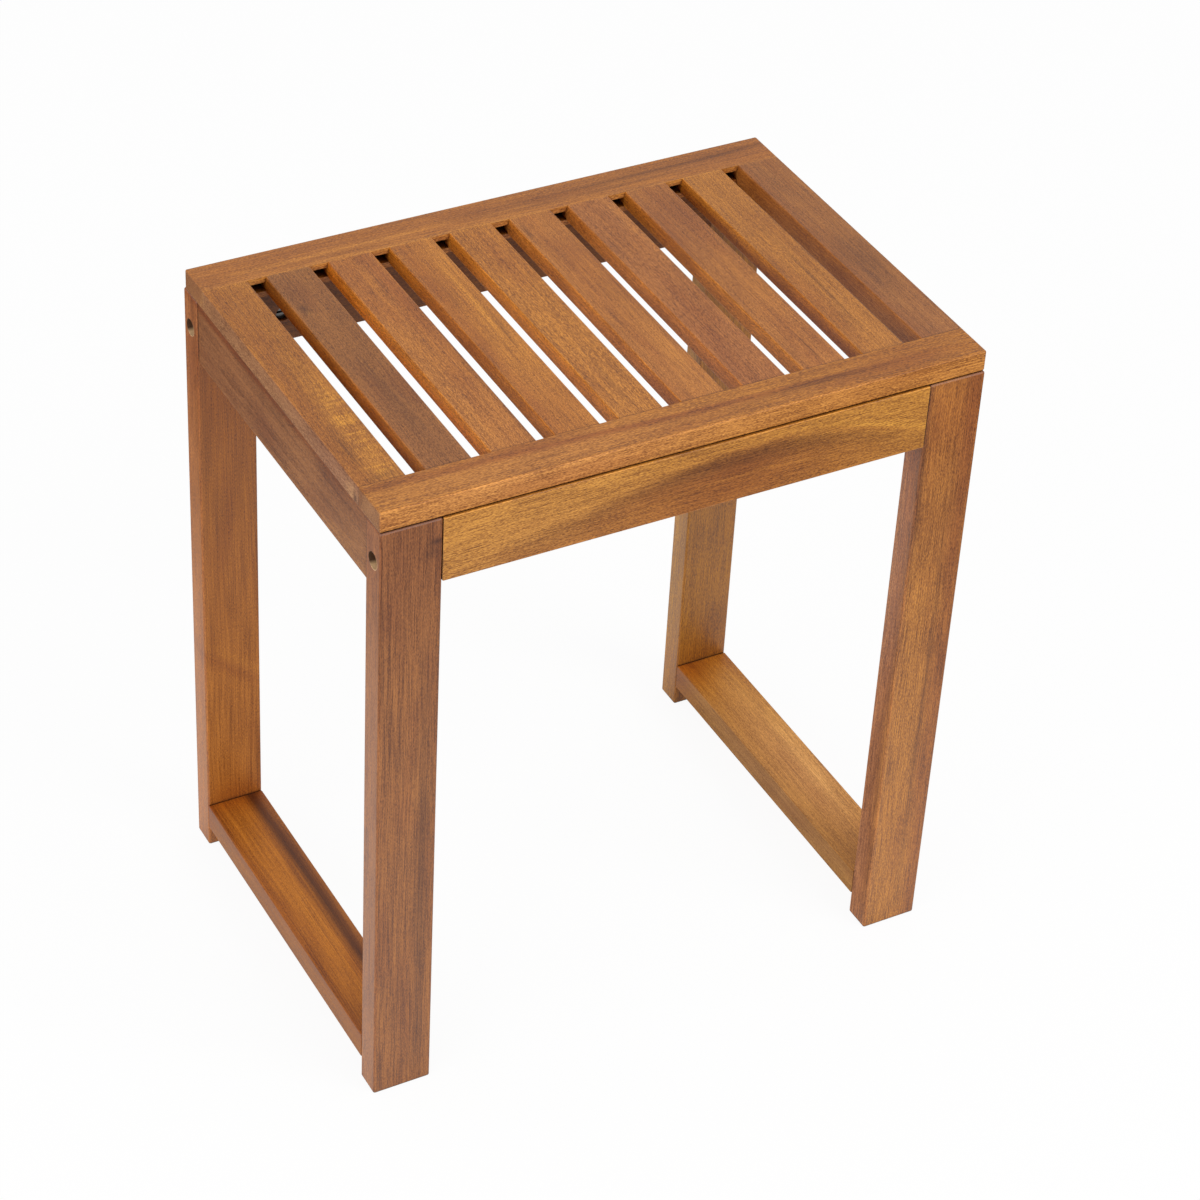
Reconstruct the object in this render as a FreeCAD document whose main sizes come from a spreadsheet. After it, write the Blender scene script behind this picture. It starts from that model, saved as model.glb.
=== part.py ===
# Slatted wooden bath stool: a seat panel of grooved rails and tongued slats on two doweled leg frames,
# tied together by a front and a rear apron with connector bolts and barrel nuts.
# Millimetres, +Z up. The origin is on the floor under the middle of the stool, the long side runs along X
# and the front faces -Y.
import FreeCAD, Part
import os
import re
import Sketcher

# Driving dimensions, one cell of the sheet each
SIZES = {
    # Whole stool, over the legs
    "overall_width": 400,
    "overall_depth": 280,
    "seat_height": 450,
    # Seat panel
    "seat_thickness": 14,
    "seat_front_setback": 1.2,
    "seat_rear_setback": 2.8,
    "seat_edge_round": 1.2,
    "top_rail_width": 27.5,
    "slat_count": 10,
    "slat_thickness": 11.5,
    "slot_width": 12,
    "slat_edge_round": 1,
    "groove_height": 6.5,
    "groove_depth": 9,
    "groove_stop": 10,
    "tongue_clearance": 0.1,
    # Legs
    "leg_width": 39,
    "leg_thickness": 19,
    "leg_edge_round": 1.5,
    # Front and rear aprons
    "apron_height": 44,
    "apron_thickness": 19,
    "apron_proud": 0.6,
    "board_edge_round": 0.8,
    # Side aprons and bottom stretchers of the leg frames
    "side_apron_thickness": 19,
    "side_apron_recess": 1,
    "stretcher_thickness": 19,
    "stretcher_clearance": 16,
    # Wooden dowels
    "dowel_diameter": 6,
    "dowel_length": 30,
    "dowel_in_leg": 12,
    "dowel_chamfer": 0.8,
    "dowel_clearance": 0.1,
    "dowel_end_gap": 0.5,
    "apron_dowel_inset": 7,
    "stretcher_dowel_inset": 9,
    # Connector bolts and their holes
    "bolt_diameter": 6,
    "bolt_length": 50,
    "bolt_tip": 1,
    "bolt_head_diameter": 10,
    "bolt_head_height": 6,
    "bolt_socket": 5,
    "bolt_socket_depth": 3,
    "bolt_offset": 2,
    "bolt_past_nut": 6,
    "bolt_clearance": 0.25,
    "bolt_end_gap": 2,
    "counterbore_depth": 14,
    "counterbore_clearance": 0.5,
    # Barrel nuts
    "nut_diameter": 10,
    "nut_length": 12,
    "nut_clearance": 0.1,
    "nut_slot_width": 1.6,
    "nut_slot_depth": 1.5,
    "thread_clearance": 0.05,
    # Seat screws
    "screw_diameter": 4,
    "screw_length": 30,
    "screw_tip": 4,
    "screw_bite": 10,
    "screw_head_diameter": 8,
    "screw_head_height": 2.5,
    "screw_recess_span": 4.5,
    "screw_recess_width": 1,
    "screw_recess_depth": 1.5,
    "screw_inset": 60,
    "screw_clearance": 0.1,
    "screw_end_gap": 1,
    # Extra travel that takes a cutter clear of a face
    "cut_overrun": 1,
}

# Formulas that several pieces share
FRAME_TOP = "(seat_height - seat_thickness)"
SLAT_WIDTH = "((overall_width - (slat_count - 1) * slot_width) / slat_count)"
SLAT_PITCH = f"({SLAT_WIDTH} + slot_width)"
SEAT_DEPTH = "(overall_depth - seat_front_setback - seat_rear_setback)"
SEAT_MIDDLE_Y = "((seat_front_setback - seat_rear_setback) / 2)"
RAIL_OFFSET = f"(({SEAT_DEPTH} - top_rail_width) / 2)"
SLAT_LENGTH = f"({SEAT_DEPTH} - 2 * top_rail_width)"
LEG_X = "((overall_width - leg_width) / 2)"
LEG_Y = "((overall_depth - leg_thickness) / 2)"
APRON_LENGTH = "(overall_width - 2 * leg_width)"
APRON_Y = "((overall_depth - apron_thickness) / 2 + apron_proud)"
APRON_BOTTOM = f"({FRAME_TOP} - apron_height)"
APRON_MIDDLE = f"({FRAME_TOP} - apron_height / 2)"
SIDE_LENGTH = "(overall_depth - 2 * leg_thickness)"
SIDE_APRON_X = "((overall_width - side_apron_thickness) / 2 - side_apron_recess)"
STRETCHER_MIDDLE = "(stretcher_clearance + stretcher_thickness / 2)"
BOLT_Z = f"({APRON_MIDDLE} - bolt_offset)"
BOLT_HOLE = "(bolt_diameter + 2 * bolt_clearance)"
BOLT_COUNTERBORE = "(bolt_head_diameter + 2 * counterbore_clearance)"
BOLT_IN_APRON = "(bolt_length - leg_width + counterbore_depth)"
NUT_SETBACK = f"({BOLT_IN_APRON} - bolt_past_nut)"
APRON_DOWEL_SPACING = "(apron_height - 2 * apron_dowel_inset)"
STRETCHER_DOWEL_SPACING = "(leg_width - 2 * stretcher_dowel_inset)"
DOWEL_HOLE = "(dowel_diameter + 2 * dowel_clearance)"
DOWEL_IN_LEG = "(dowel_in_leg + dowel_end_gap)"
DOWEL_IN_BOARD = "(dowel_length - dowel_in_leg + dowel_end_gap)"
DOWEL_SHIFT = "(dowel_length / 2 - dowel_in_leg)"
SCREW_SPACING = f"({APRON_LENGTH} - 2 * screw_inset)"
SCREW_HOLE = "(screw_diameter + 2 * screw_clearance)"
SCREW_COUNTERBORE = "(screw_head_diameter + 2 * counterbore_clearance)"
SCREW_IN_APRON = "(screw_length - screw_bite)"

UP = FreeCAD.Vector(0, 0, 1)
SIDES = {"left": -1, "right": 1}
ENDS = {"front": -1, "rear": 1}
QUARTER_TURN = 90
# Starting size of a sketch's lines and circles, before the sheet's sizes take hold
UNIT = 1

doc = FreeCAD.newDocument("bath_stool")
sheet = doc.addObject("Spreadsheet::Sheet", "Sizes")
for row, (alias, value) in enumerate(SIZES.items(), 1):
    sheet.set(f"A{row}", alias)
    sheet.set(f"B{row}", str(value))
    sheet.setAlias(f"B{row}", alias)
doc.recompute()

parts = []


def size(alias):
    """A size as the sheet holds it."""
    return float(sheet.get(alias))


def bind(item, prop, formula):
    """Ties a property to the sheet: every plain word in the formula is the name of a size."""
    item.setExpression(prop, re.sub(r"\b[a-z_]+\b(?!\()", r"Sizes.\g<0>", formula))


def place(item, x, y, z):
    """Ties the item's place to the sheet."""
    for axis, formula in zip("xyz", (x, y, z)):
        bind(item, f"Placement.Base.{axis}", formula)


def sketch_on(body, name, role, offset):
    """A sketch on one of the body's own planes, moved along its two axes and its normal."""
    sketch = body.newObject("Sketcher::SketchObject", name)
    support = next(feature for feature in body.Origin.OriginFeatures if feature.Role == role)
    sketch.AttachmentSupport = [(support, "")]
    sketch.MapMode = "FlatFace"
    for axis, formula in zip("xyz", offset):
        bind(sketch, f"AttachmentOffset.Base.{axis}", formula)
    return sketch


def dimension(sketch, name, formula, constraint):
    """Adds a named dimension to the sketch and ties it to the sheet."""
    index = sketch.addConstraint(constraint)
    sketch.renameConstraint(index, name)
    bind(sketch, f"Constraints.{name}", formula)


def rectangle(sketch, across, deep):
    """A rectangle round the sketch's origin."""
    signs = ((-1, -1), (1, -1), (1, 1), (-1, 1))
    corners = [FreeCAD.Vector(x_sign * UNIT, y_sign * UNIT, 0) for x_sign, y_sign in signs]
    for n in range(4):
        sketch.addGeometry(Part.LineSegment(corners[n], corners[(n + 1) % 4]), False)
    for n in range(4):
        sketch.addConstraint(Sketcher.Constraint("Coincident", n, 2, (n + 1) % 4, 1))
        sketch.addConstraint(Sketcher.Constraint("Vertical" if n % 2 else "Horizontal", n))
    sketch.addConstraint(Sketcher.Constraint("Symmetric", 0, 1, 2, 1, -1, 1))
    for line, name, formula in ((0, "across", across), (1, "deep", deep)):
        dimension(sketch, name, formula, Sketcher.Constraint("Distance", line, 2 * UNIT))


def circle(sketch, diameter):
    """A circle round the sketch's origin."""
    sketch.addGeometry(Part.Circle(FreeCAD.Vector(), UP, UNIT), False)
    sketch.addConstraint(Sketcher.Constraint("Coincident", 0, 3, -1, 1))
    dimension(sketch, "bore", diameter, Sketcher.Constraint("Diameter", 0, 2 * UNIT))


def circle_pair(sketch, diameter, spacing, upright):
    """Two equal circles on either side of the sketch's origin, one above the other if upright."""
    way = FreeCAD.Vector(0, UNIT, 0) if upright else FreeCAD.Vector(UNIT, 0, 0)
    for centre in (way * -2, way * 2):
        sketch.addGeometry(Part.Circle(centre, UP, UNIT), False)
    sketch.addConstraint(Sketcher.Constraint("Equal", 0, 1))
    sketch.addConstraint(Sketcher.Constraint("Symmetric", 0, 3, 1, 3, -1, 1))
    sketch.addConstraint(Sketcher.Constraint("PointOnObject", 0, 3, -2 if upright else -1))
    dimension(sketch, "bore", diameter, Sketcher.Constraint("Diameter", 0, 2 * UNIT))
    dimension(sketch, "spacing", spacing, Sketcher.Constraint("Distance", 0, 3, 1, 3, 4 * UNIT))


def new_body(label):
    """An empty body that becomes one of the stool's pieces."""
    body = doc.addObject("PartDesign::Body", label)
    body.Label = label
    parts.append(body)
    return body


def board(label, across, deep, thick):
    """A square-edged board, centred on its own origin in X and Y and standing on it."""
    body = new_body(label)
    outline = sketch_on(body, "BoardOutline", "XY_Plane", ("0", "0", "0"))
    rectangle(outline, across, deep)
    pad = body.newObject("PartDesign::Pad", "BoardPad")
    pad.Profile = outline
    bind(pad, "Length", thick)
    doc.recompute()
    return body


def ease(body, radius, wanted=None):
    """Rounds all edges of the body, or those that a test picks."""
    base = body.Tip
    picked = [f"Edge{n}" for n, edge in enumerate(base.Shape.Edges, 1) if wanted is None or wanted(edge)]
    fillet = body.newObject("PartDesign::Fillet", "EasedEdges")
    fillet.Base = (base, picked)
    bind(fillet, "Radius", radius)
    doc.recompute()


def cut_check(body, before):
    """Stops the build if the last cut took nothing away."""
    doc.recompute()
    if not body.Shape.Volume < before:
        raise RuntimeError(f"{body.Label}: {body.Tip.Name} cuts nothing")


def pocket(body, sketch, depth, along_normal):
    """Cuts the sketch into the body, with or against the sketch's normal."""
    before = body.Shape.Volume
    cut = body.newObject("PartDesign::Pocket", "Cut")
    cut.Profile = sketch
    cut.Reversed = along_normal
    bind(cut, "Length", depth)
    cut_check(body, before)


def counterbored(body, sketch, diameter, head_diameter, head_depth, along_normal):
    """Drills through the body at the sketch's circles, wider at the mouth."""
    doc.recompute()
    before = body.Shape.Volume
    hole = body.newObject("PartDesign::Hole", "CounterboredHole")
    hole.Profile = sketch
    doc.recompute()
    hole.DepthType = "ThroughAll"
    hole.Reversed = along_normal
    bind(hole, "Diameter", diameter)
    hole.HoleCutType = "Counterbore"
    hole.HoleCutCustomValues = True
    bind(hole, "HoleCutDiameter", head_diameter)
    bind(hole, "HoleCutDepth", head_depth)
    cut_check(body, before)


def runs_along(edge, axis):
    """True for a straight edge along one axis."""
    line = edge.Vertexes[-1].Point - edge.Vertexes[0].Point
    return abs(getattr(line, axis)) > edge.Length / 2


# Seat panel
def top_rail(end, sign):
    """Long rail of the seat, with a stopped groove for the slats in its inner edge."""
    body = board(f"{end}_top_rail", "overall_width", "top_rail_width", "seat_thickness")
    inner_quarter = -size("top_rail_width") / 4
    ease(body, "seat_edge_round", lambda edge: sign * edge.CenterOfMass.y > inner_quarter)
    inner_edge = ("0", "seat_thickness / 2", f"{sign} * top_rail_width / 2")
    groove = sketch_on(body, "Groove", "XZ_Plane", inner_edge)
    rectangle(groove, "overall_width - 2 * groove_stop", "groove_height")
    pocket(body, groove, "groove_depth", sign < 0)
    pilots_y = f"{sign} * ({APRON_Y} - {RAIL_OFFSET}) - {SEAT_MIDDLE_Y}"
    pilots = sketch_on(body, "ScrewPilots", "XY_Plane", ("0", pilots_y, "0"))
    circle_pair(pilots, SCREW_HOLE, SCREW_SPACING, upright=False)
    pocket(body, pilots, "screw_bite + screw_end_gap", True)
    place(body, "0", f"{SEAT_MIDDLE_Y} + {sign} * {RAIL_OFFSET}", FRAME_TOP)


def slat(number, outer):
    """Slat, flush with the rails' tops, with a tongue at each end. Outer is the sign of an end slat's outer
    side, or 0 on the others: an end slat is as thick as the rails and lies on the side apron, and its tongues
    stop short where the groove does."""
    thick = "seat_thickness" if outer else "slat_thickness"
    body = board(f"slat_{number:02d}", SLAT_WIDTH, SLAT_LENGTH, thick)
    if outer:
        ease(body, "seat_edge_round", lambda edge: runs_along(edge, "y") and outer * edge.CenterOfMass.x > 0)
    ease(body, "slat_edge_round", lambda edge: runs_along(edge, "y") and outer * edge.CenterOfMass.x <= 0)
    stop = f"(groove_stop + tongue_clearance) * {abs(outer)}"
    bottom = f"{thick} - (seat_thickness + groove_height) / 2 + tongue_clearance"
    tongues = sketch_on(body, "Tongues", "XY_Plane", (f"{-outer} * {stop} / 2", "0", bottom))
    rectangle(tongues, f"{SLAT_WIDTH} - {stop}", f"{SLAT_LENGTH} + 2 * (groove_depth - tongue_clearance)")
    pad = body.newObject("PartDesign::Pad", "TonguePad")
    pad.Profile = tongues
    bind(pad, "Length", "groove_height - 2 * tongue_clearance")
    doc.recompute()
    place(body, f"({number} - (slat_count + 1) / 2) * {SLAT_PITCH}", SEAT_MIDDLE_Y, f"seat_height - {thick}")


# Leg frames and aprons
def leg(side, x_sign, end, y_sign):
    """Leg drilled for the connector bolt, the apron's dowels and the side frame's dowels."""
    body = board(f"{end}_{side}_leg", "leg_width", "leg_thickness", FRAME_TOP)
    ease(body, "leg_edge_round")
    bolt = sketch_on(body, "BoltAxis", "YZ_Plane", ("0", BOLT_Z, f"{x_sign} * leg_width / 2"))
    circle(bolt, BOLT_HOLE)
    counterbored(body, bolt, BOLT_HOLE, BOLT_COUNTERBORE, "counterbore_depth", x_sign < 0)
    apron_joint = ("0", APRON_MIDDLE, f"{-x_sign} * leg_width / 2")
    apron_dowels = sketch_on(body, "ApronDowels", "YZ_Plane", apron_joint)
    circle_pair(apron_dowels, DOWEL_HOLE, APRON_DOWEL_SPACING, upright=True)
    pocket(body, apron_dowels, DOWEL_IN_LEG, x_sign > 0)
    inner_face = f"{y_sign} * leg_thickness / 2"
    side_x = f"{x_sign} * ({SIDE_APRON_X} - {LEG_X})"
    side_dowels = sketch_on(body, "SideApronDowels", "XZ_Plane", (side_x, APRON_MIDDLE, inner_face))
    circle_pair(side_dowels, DOWEL_HOLE, APRON_DOWEL_SPACING, upright=True)
    pocket(body, side_dowels, DOWEL_IN_LEG, y_sign < 0)
    foot_dowels = sketch_on(body, "StretcherDowels", "XZ_Plane", ("0", STRETCHER_MIDDLE, inner_face))
    circle_pair(foot_dowels, DOWEL_HOLE, STRETCHER_DOWEL_SPACING, upright=False)
    pocket(body, foot_dowels, DOWEL_IN_LEG, y_sign < 0)
    place(body, f"{x_sign} * {LEG_X}", f"{y_sign} * {LEG_Y}", "0")


def apron(end, sign):
    """Front or rear apron: bolted and doweled at both ends, with holes for barrel nuts and seat screws."""
    body = board(f"{end}_apron", APRON_LENGTH, "apron_thickness", "apron_height")
    ease(body, "board_edge_round")
    bolt_y = f"{sign} * ({LEG_Y} - {APRON_Y})"
    inner_depth = f"(apron_thickness / 2 + {LEG_Y} - {APRON_Y} + nut_length / 2 + nut_clearance)"
    for x_sign in SIDES.values():
        end_face = f"{x_sign} * {APRON_LENGTH} / 2"
        bolt = sketch_on(body, "BoltAxis", "YZ_Plane", (bolt_y, f"{BOLT_Z} - {APRON_BOTTOM}", end_face))
        circle(bolt, BOLT_HOLE)
        pocket(body, bolt, f"{BOLT_IN_APRON} + bolt_end_gap", x_sign < 0)
        dowels = sketch_on(body, "Dowels", "YZ_Plane", (bolt_y, "apron_height / 2", end_face))
        circle_pair(dowels, DOWEL_HOLE, APRON_DOWEL_SPACING, upright=True)
        pocket(body, dowels, DOWEL_IN_BOARD, x_sign < 0)
    nuts = sketch_on(body, "BarrelNuts", "XZ_Plane",
                     ("0", f"{BOLT_Z} - {APRON_BOTTOM}", f"{sign} * apron_thickness / 2"))
    nut_spacing = f"{APRON_LENGTH} - 2 * {NUT_SETBACK}"
    circle_pair(nuts, "nut_diameter + 2 * nut_clearance", nut_spacing, upright=False)
    pocket(body, nuts, inner_depth, sign < 0)
    screws = sketch_on(body, "SeatScrews", "XY_Plane", ("0", "0", "0"))
    circle_pair(screws, SCREW_HOLE, SCREW_SPACING, upright=False)
    counterbored(body, screws, SCREW_HOLE, SCREW_COUNTERBORE, f"apron_height - {SCREW_IN_APRON}", True)
    place(body, "0", f"{sign} * {APRON_Y}", APRON_BOTTOM)


def side_board(label, across, thick, spacing, upright, x, z):
    """Side apron or bottom stretcher, doweled into the legs at both ends."""
    body = board(label, across, SIDE_LENGTH, thick)
    ease(body, "board_edge_round")
    for y_sign in ENDS.values():
        end_face = ("0", f"{thick} / 2", f"{-y_sign} * {SIDE_LENGTH} / 2")
        dowels = sketch_on(body, "Dowels", "XZ_Plane", end_face)
        circle_pair(dowels, DOWEL_HOLE, spacing, upright)
        pocket(body, dowels, DOWEL_IN_BOARD, y_sign > 0)
    place(body, x, "0", z)


# Fasteners: one blank of each kind, repeated by links that one group holds
def solid(kind, name, **formulas):
    """A primitive with its sizes tied to the sheet; a double underscore stands for a dot."""
    item = doc.addObject(f"Part::{kind}", name)
    for prop, formula in formulas.items():
        bind(item, prop.replace("__", "."), formula)
    return item


def fuse(name, items):
    """Joins primitives that make one piece."""
    whole = doc.addObject("Part::MultiFuse", name)
    whole.Shapes = items
    return whole


def cut(name, base, tool):
    """Takes a tool's shape out of a base."""
    left = doc.addObject("Part::Cut", name)
    left.Base = base
    left.Tool = tool
    return left


def rotation(axis, sign):
    """A quarter turn about one axis."""
    return FreeCAD.Rotation(axis, sign * QUARTER_TURN)


def dowel_blank():
    """Chamfered wooden dowel, along its own Z and centred on its origin."""
    wide = "dowel_diameter / 2"
    narrow = "dowel_diameter / 2 - dowel_chamfer"
    core = solid("Cylinder", "DowelCore", Radius=wide, Height="dowel_length - 2 * dowel_chamfer",
                 Placement__Base__z="dowel_chamfer - dowel_length / 2")
    foot = solid("Cone", "DowelFoot", Radius1=narrow, Radius2=wide, Height="dowel_chamfer",
                 Placement__Base__z="-dowel_length / 2")
    tip = solid("Cone", "DowelTip", Radius1=wide, Radius2=narrow, Height="dowel_chamfer",
                Placement__Base__z="dowel_length / 2 - dowel_chamfer")
    return fuse("DowelBlank", [foot, core, tip])


def bolt_blank():
    """Socket-head connector bolt along its own Z, with the underside of its head at its origin."""
    head = solid("Cylinder", "BoltHead", Radius="bolt_head_diameter / 2", Height="bolt_head_height",
                 Placement__Base__z="-bolt_head_height")
    shank = solid("Cylinder", "BoltShank", Radius="bolt_diameter / 2", Height="bolt_length - bolt_tip")
    tip = solid("Cone", "BoltTip", Radius1="bolt_diameter / 2", Radius2="bolt_diameter / 2 - bolt_tip",
                Height="bolt_tip", Placement__Base__z="bolt_length - bolt_tip")
    socket = solid("Prism", "BoltSocket", Circumradius="bolt_socket / sqrt(3)",
                   Height="bolt_socket_depth + cut_overrun",
                   Placement__Base__z="-bolt_head_height - cut_overrun")
    return cut("BoltBlank", fuse("BoltOuter", [head, shank, tip]), socket)


def nut_blank():
    """Barrel nut along its own Z, with its cross hole along X and a driver slot in its upper end."""
    barrel = solid("Cylinder", "NutBarrel", Radius="nut_diameter / 2", Height="nut_length",
                   Placement__Base__z="-nut_length / 2")
    cross = solid("Cylinder", "NutCrossHole", Radius="bolt_diameter / 2 + thread_clearance",
                  Height="nut_diameter + 2 * cut_overrun",
                  Placement__Base__x="-nut_diameter / 2 - cut_overrun")
    cross.Placement.Rotation = rotation(FreeCAD.Vector(0, 1, 0), 1)
    slot = solid("Box", "NutSlot", Length="nut_diameter + 2 * cut_overrun", Width="nut_slot_width",
                 Height="nut_slot_depth + cut_overrun", Placement__Base__x="-nut_diameter / 2 - cut_overrun",
                 Placement__Base__y="-nut_slot_width / 2",
                 Placement__Base__z="nut_length / 2 - nut_slot_depth")
    return cut("NutBlank", barrel, fuse("NutCuts", [cross, slot]))


def screw_blank():
    """Pan-head wood screw along its own Z, with the underside of its head at its origin."""
    head = solid("Cylinder", "ScrewHead", Radius="screw_head_diameter / 2", Height="screw_head_height",
                 Placement__Base__z="-screw_head_height")
    shank = solid("Cylinder", "ScrewShank", Radius="screw_diameter / 2", Height="screw_length - screw_tip")
    tip = solid("Cone", "ScrewTip", Radius1="screw_diameter / 2", Radius2="0", Height="screw_tip",
                Placement__Base__z="screw_length - screw_tip")
    blades = []
    for name, length, width in (("Long", "screw_recess_span", "screw_recess_width"),
                                ("Cross", "screw_recess_width", "screw_recess_span")):
        blades.append(solid("Box", f"ScrewRecess{name}", Length=length, Width=width,
                            Height="screw_recess_depth + cut_overrun",
                            Placement__Base__x=f"-{length} / 2", Placement__Base__y=f"-{width} / 2",
                            Placement__Base__z="-screw_head_height - cut_overrun"))
    return cut("ScrewBlank", fuse("ScrewOuter", [head, shank, tip]), fuse("ScrewRecess", blades))


def group(label, blank, places):
    """Copies of a blank, each at a place and turn of its own, held as one group of separate solids."""
    links = []
    for x, y, z, turn in places:
        link = doc.addObject("App::Link", f"{label}_copy")
        link.LinkedObject = blank
        link.Placement = FreeCAD.Placement(FreeCAD.Vector(), turn)
        place(link, x, y, z)
        links.append(link)
    whole = doc.addObject("Part::Compound", label)
    whole.Label = label
    whole.Links = links
    parts.append(whole)


def frame_dowel_places(x_sign):
    """Dowels of one leg frame: pairs in its side apron and in its stretcher, at both ends."""
    for y_sign in ENDS.values():
        turn = rotation(FreeCAD.Vector(1, 0, 0), y_sign)
        y = f"{y_sign} * ({SIDE_LENGTH} / 2 - {DOWEL_SHIFT})"
        for step in (-1, 1):
            apron_z = f"{APRON_MIDDLE} + {step} * {APRON_DOWEL_SPACING} / 2"
            yield f"{x_sign} * {SIDE_APRON_X}", y, apron_z, turn
            stretcher_x = f"{x_sign} * {LEG_X} + {step} * {STRETCHER_DOWEL_SPACING} / 2"
            yield stretcher_x, y, STRETCHER_MIDDLE, turn


def apron_dowel_places():
    """Dowels that keep the aprons from turning on their bolts, a pair at each apron end."""
    for x_sign in SIDES.values():
        turn = rotation(FreeCAD.Vector(0, 1, 0), x_sign)
        for y_sign in ENDS.values():
            for step in (-1, 1):
                yield (f"{x_sign} * ({APRON_LENGTH} / 2 - {DOWEL_SHIFT})", f"{y_sign} * {LEG_Y}",
                       f"{APRON_MIDDLE} + {step} * {APRON_DOWEL_SPACING} / 2", turn)


def bolt_places():
    """Bolt heads seat on the counterbore floors of the legs and point inwards."""
    for x_sign in SIDES.values():
        turn = rotation(FreeCAD.Vector(0, 1, 0), -x_sign)
        for y_sign in ENDS.values():
            yield f"{x_sign} * (overall_width / 2 - counterbore_depth)", f"{y_sign} * {LEG_Y}", BOLT_Z, turn


def nut_places():
    """Barrel nuts on the bolt axes, with their slots towards the aprons' inner faces."""
    for x_sign in SIDES.values():
        for y_sign in ENDS.values():
            turn = rotation(FreeCAD.Vector(1, 0, 0), y_sign)
            yield f"{x_sign} * ({APRON_LENGTH} / 2 - {NUT_SETBACK})", f"{y_sign} * {LEG_Y}", BOLT_Z, turn


def screw_places():
    """Seat screws, up through the aprons into the top rails."""
    for x_sign in SIDES.values():
        for y_sign in ENDS.values():
            yield (f"{x_sign} * {SCREW_SPACING} / 2", f"{y_sign} * {APRON_Y}",
                   f"{FRAME_TOP} - {SCREW_IN_APRON}", FreeCAD.Rotation())


# The stool, from the seat down
for end, sign in ENDS.items():
    top_rail(end, sign)
slat_count = int(size("slat_count"))
outer_sides = {1: SIDES["left"], slat_count: SIDES["right"]}
for number in range(1, slat_count + 1):
    slat(number, outer_sides.get(number, 0))
for end, y_sign in ENDS.items():
    apron(end, y_sign)
    for side, x_sign in SIDES.items():
        leg(side, x_sign, end, y_sign)
for side, x_sign in SIDES.items():
    side_board(f"{side}_side_apron", "side_apron_thickness", "apron_height", APRON_DOWEL_SPACING, True,
               f"{x_sign} * {SIDE_APRON_X}", APRON_BOTTOM)
    side_board(f"{side}_stretcher", "leg_width", "stretcher_thickness", STRETCHER_DOWEL_SPACING, False,
               f"{x_sign} * {LEG_X}", "stretcher_clearance")
dowel = dowel_blank()
for side, x_sign in SIDES.items():
    group(f"{side}_frame_dowels", dowel, frame_dowel_places(x_sign))
group("apron_dowels", dowel, apron_dowel_places())
group("connector_bolts", bolt_blank(), bolt_places())
group("barrel_nuts", nut_blank(), nut_places())
group("seat_screws", screw_blank(), screw_places())
doc.recompute()

# Every object has to be sound before anything is written
for item in doc.Objects:
    if "Invalid" in item.State or "Error" in item.State:
        raise RuntimeError(f"{item.Name} failed: {item.State}")
for part in parts:
    if part.Shape.isNull() or not part.Shape.isValid():
        raise RuntimeError(f"{part.Label} has no valid shape")

os.makedirs("parts", exist_ok=True)
for part in parts:
    part.Shape.exportStep(f"parts/{part.Label}.step")
    print(f"{part.Label}: {len(part.Shape.Solids)} solid(s), {part.Shape.Volume:.0f} mm3")
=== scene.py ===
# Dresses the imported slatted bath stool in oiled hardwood, board by board, on a plain white floor.
# Metres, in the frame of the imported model: +X along the long side, the front faces -Y, +Z up. The figure and
# the stains of the wood are in millimetres.
import math
from collections import namedtuple

import bpy
from mathutils import Matrix, Vector


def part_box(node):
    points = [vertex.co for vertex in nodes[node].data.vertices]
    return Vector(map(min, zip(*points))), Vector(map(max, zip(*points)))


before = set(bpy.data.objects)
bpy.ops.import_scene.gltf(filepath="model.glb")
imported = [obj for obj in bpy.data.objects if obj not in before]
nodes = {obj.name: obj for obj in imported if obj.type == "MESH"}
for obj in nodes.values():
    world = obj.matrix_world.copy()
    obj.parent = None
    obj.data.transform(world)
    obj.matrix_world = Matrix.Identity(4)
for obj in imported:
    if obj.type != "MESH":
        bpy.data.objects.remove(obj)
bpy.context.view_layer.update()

MM_PER_METRE = 1000
WHITE = (1, 1, 1, 1)

# Camera: where the photograph was taken from, what it looks at, and its roll
CAMERA_PLACE = Vector((-0.8917, -1.5770, 1.6115))
CAMERA_AIM = Vector((0.0222, -0.0033, 0.2250))
CAMERA_ROLL = math.radians(3.4)
CAMERA_LENS = 107.07
SENSOR_WIDTH = 36


def make_camera():
    """Looks down at the stool from its front left."""
    data = bpy.data.cameras.new("camera")
    data.sensor_width = SENSOR_WIDTH
    data.lens = CAMERA_LENS
    camera = bpy.data.objects.new("camera", data)
    aim = (CAMERA_AIM - CAMERA_PLACE).to_track_quat("-Z", "Y").to_matrix()
    turn = aim @ Matrix.Rotation(CAMERA_ROLL, 3, "Z")
    camera.matrix_world = Matrix.Translation(CAMERA_PLACE) @ turn.to_4x4()
    bpy.context.scene.collection.objects.link(camera)
    bpy.context.scene.camera = camera


# Sockets of a node that mixes two colours, the middle of the noise that the nodes give, and how often the
# surroundings of a point are probed
MIX_SHARE, MIX_FIRST, MIX_SECOND = 0, 6, 7
MIX_RESULT = 2
NOISE_MIDDLE = 0.5
NEARNESS_SAMPLES = 8


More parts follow.
